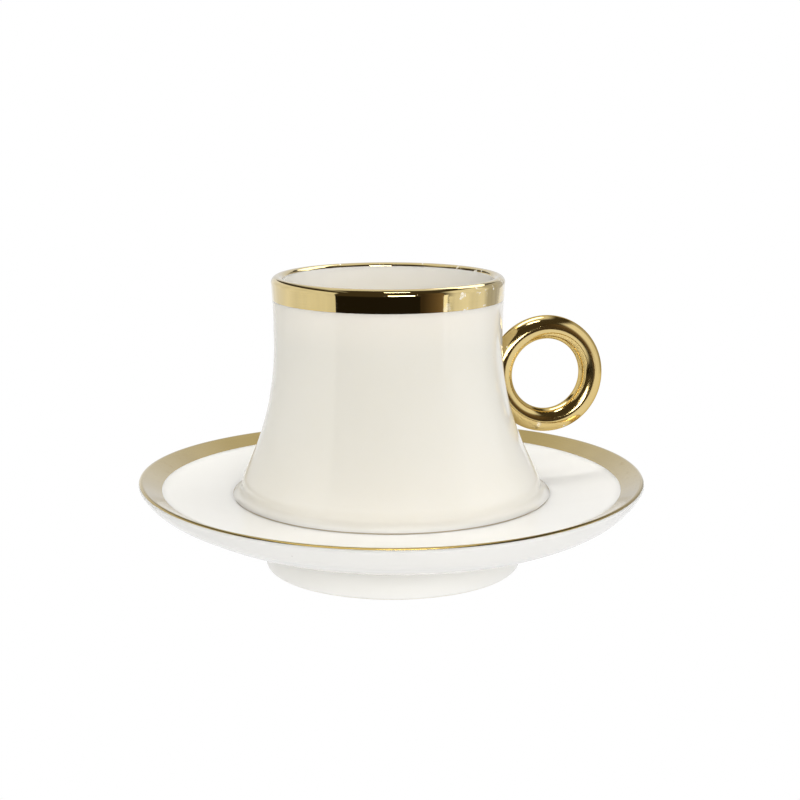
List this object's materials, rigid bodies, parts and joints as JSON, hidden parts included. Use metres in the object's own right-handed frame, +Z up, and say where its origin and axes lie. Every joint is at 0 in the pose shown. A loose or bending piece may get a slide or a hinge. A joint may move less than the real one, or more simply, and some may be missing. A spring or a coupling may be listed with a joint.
{
  "type": "coffee cup and saucer",
  "caption": "Bell-shaped glazed porcelain coffee cup with a ring handle and gilded rim; it stands in the well of a footed saucer with a gilded edge and lifts off.",
  "frame": {"origin": "centre of the saucer's foot ring, on the table", "axes": "+Z up along the shared axis of cup and saucer, +X towards the ring handle"},
  "size_m": [0.125, 0.125, 0.0724],
  "materials": {
    "white_glaze": "glossy white glaze over porcelain",
    "saucer_gold": "fired gold, slightly dull from wear",
    "ivory_glaze": "glossy ivory glaze over porcelain",
    "cup_gold": "mirror-bright fired gold",
    "handle_gold": "porcelain covered with mirror-bright fired gold"
  },
  "bodies": {
    "saucer": {"saucer_body": "white_glaze", "saucer_rim_gilding": "saucer_gold"},
    "cup": {"cup_body": "ivory_glaze", "cup_rim_gilding": "cup_gold", "handle_ring": "handle_gold"}
  },
  "joints": [
    {"name": "cup_lift", "type": "slide", "parent": "saucer", "child": "cup", "axis": [0, 0, 1], "range_m": [0, 0.06]}
  ]
}
